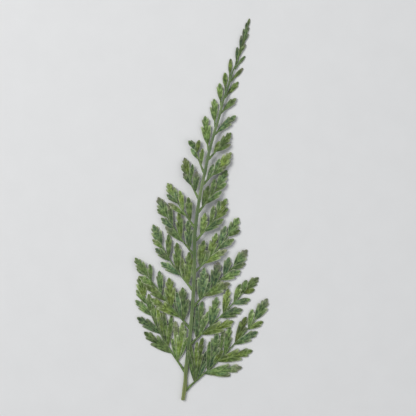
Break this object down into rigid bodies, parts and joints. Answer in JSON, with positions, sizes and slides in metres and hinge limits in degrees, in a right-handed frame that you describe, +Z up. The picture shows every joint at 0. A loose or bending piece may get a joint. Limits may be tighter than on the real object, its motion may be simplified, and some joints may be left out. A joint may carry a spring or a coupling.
{
  "type": "fern frond",
  "caption": "Picked fern frond lying flat: a slender green stalk with finely cut pinnae of wedge-shaped, toothed leaflets on both sides, tapering to a lobed tip.",
  "frame": {"origin": "middle of the frond's length and width, on the surface it lies on", "axes": "+Y along the frond from the cut end of the stalk to the tip, +X towards the right-hand pinnae seen from above, +Z up out of the frond's upper face"},
  "size_m": [0.0812, 0.2286, 0.0061],
  "materials": {
    "stalk": "matte",
    "leaf": "matte",
    "leaf_tip": "matte"
  },
  "bodies": {
    "root": {"stalk": "stalk", "pinna_left_01": "leaf", "pinna_left_02": "leaf", "pinna_left_03": "leaf", "pinna_left_04": "leaf", "pinna_left_05": "leaf", "pinna_left_06": "leaf", "pinna_left_07": "leaf", "pinna_left_08": "leaf", "pinna_left_09": "leaf", "pinna_left_10": "leaf", "pinna_left_11": "leaf", "pinna_left_12": "leaf", "pinna_right_01": "leaf", "pinna_right_02": "leaf", "pinna_right_03": "leaf", "pinna_right_04": "leaf", "pinna_right_05": "leaf", "pinna_right_06": "leaf", "pinna_right_07": "leaf", "pinna_right_08": "leaf", "pinna_right_09": "leaf", "pinna_right_10": "leaf", "pinna_right_11": "leaf", "pinna_right_12": "leaf", "pinna_right_13": "leaf", "frond_tip": "leaf_tip"}
  },
  "joints": []
}
